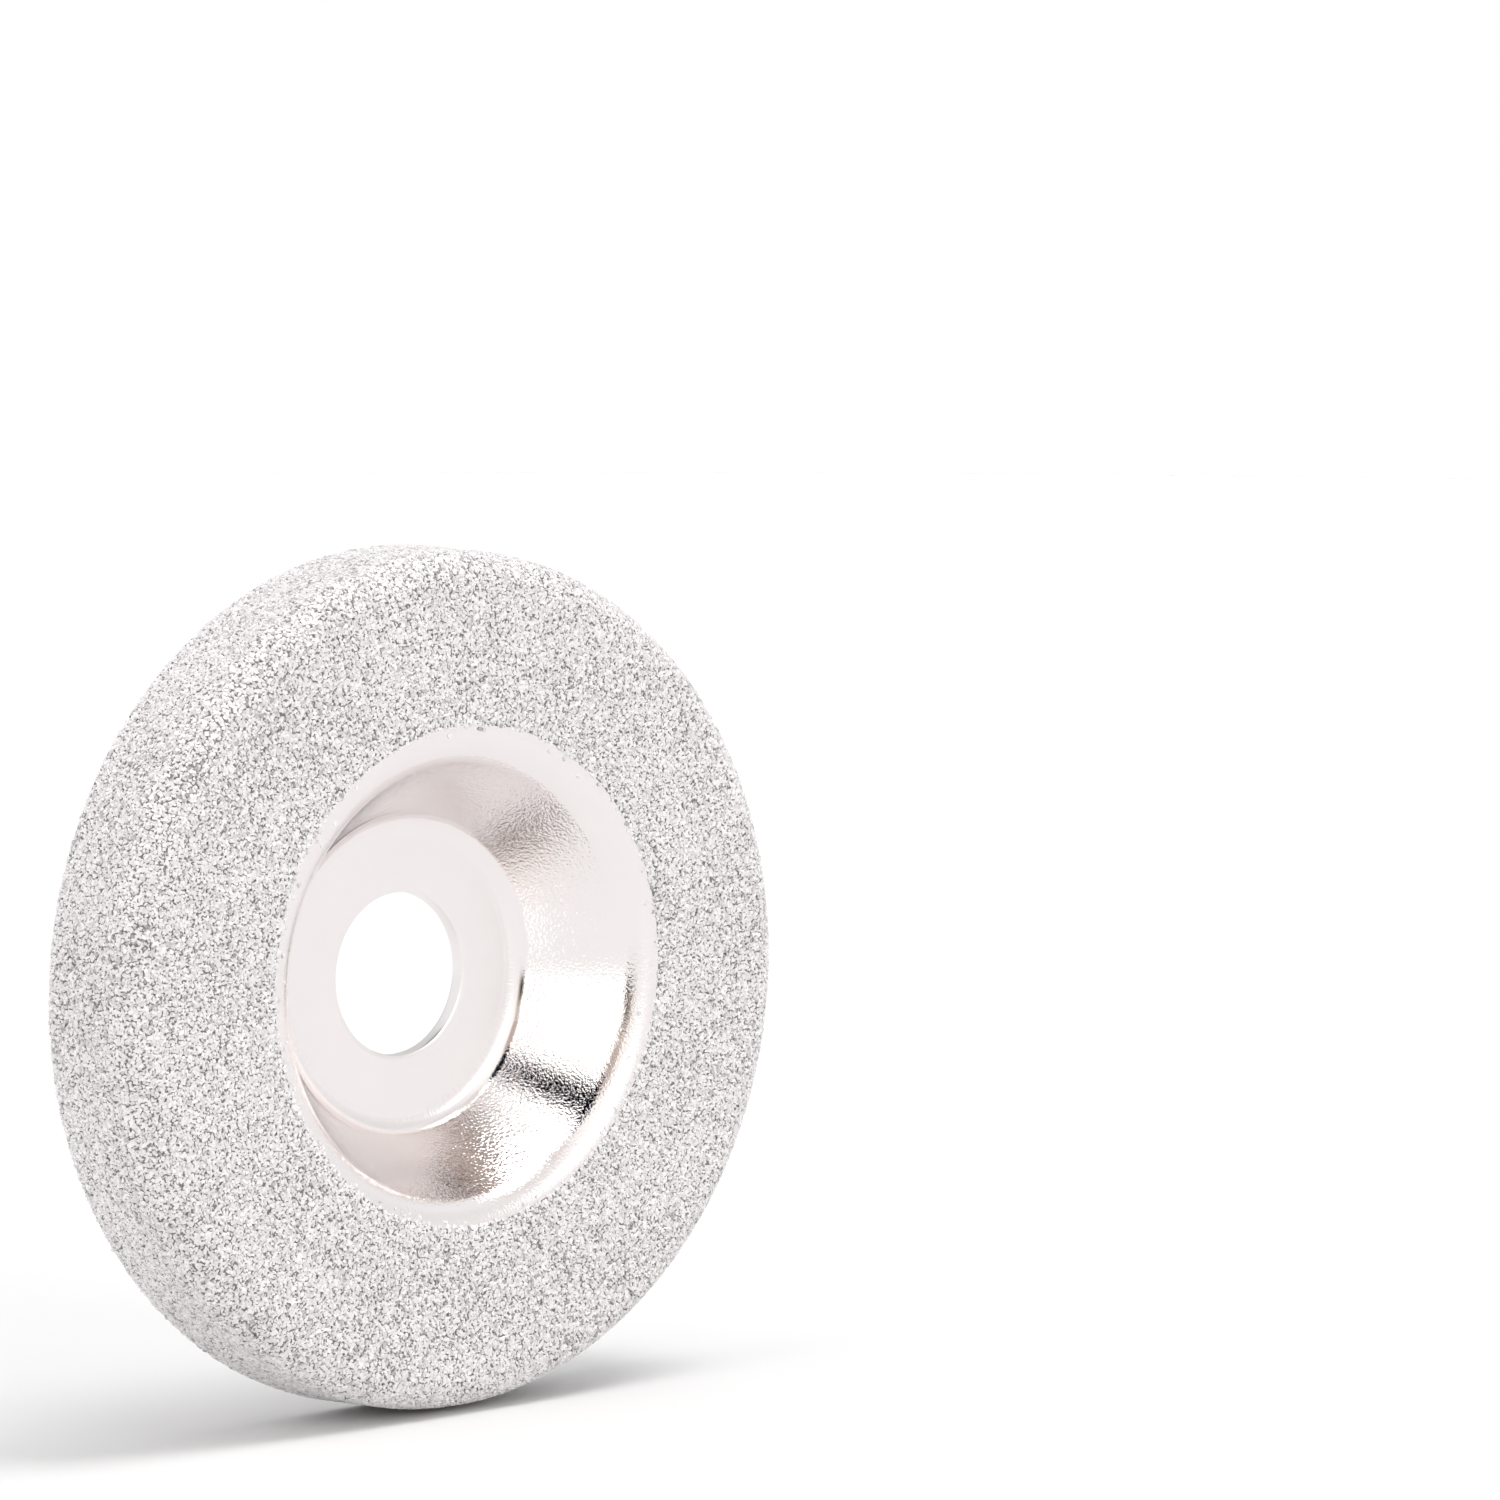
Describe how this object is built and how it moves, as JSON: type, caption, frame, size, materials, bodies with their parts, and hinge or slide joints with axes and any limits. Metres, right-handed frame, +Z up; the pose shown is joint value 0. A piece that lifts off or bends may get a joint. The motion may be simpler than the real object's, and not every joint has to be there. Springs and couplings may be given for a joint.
{
  "type": "angle grinder carving disc",
  "caption": "Dished pressed-steel disc with a recessed hub and spindle bore; its face, corner and skirt are coated in diamond grit for carving and grinding.",
  "frame": {"origin": "on the spindle axis, in the plane of the hub's back face, where the grinder's flange sits", "axes": "+Y along the spindle axis, from the gritted face towards the grinder; +Z up with the disc standing on edge"},
  "size_m": [0.084, 0.0124, 0.084],
  "materials": {
    "steel_sheet": "cold-rolled sheet",
    "bright_nickel": "bright nickel plate",
    "bond_nickel": "matt nickel deposit",
    "diamond_grit": "single layer of pale diamond grains"
  },
  "bodies": {
    "root": {"steel_dish": "steel_sheet", "nickel_plating": "bright_nickel", "nickel_bond": "bond_nickel", "diamond_grit": "diamond_grit"}
  },
  "joints": []
}
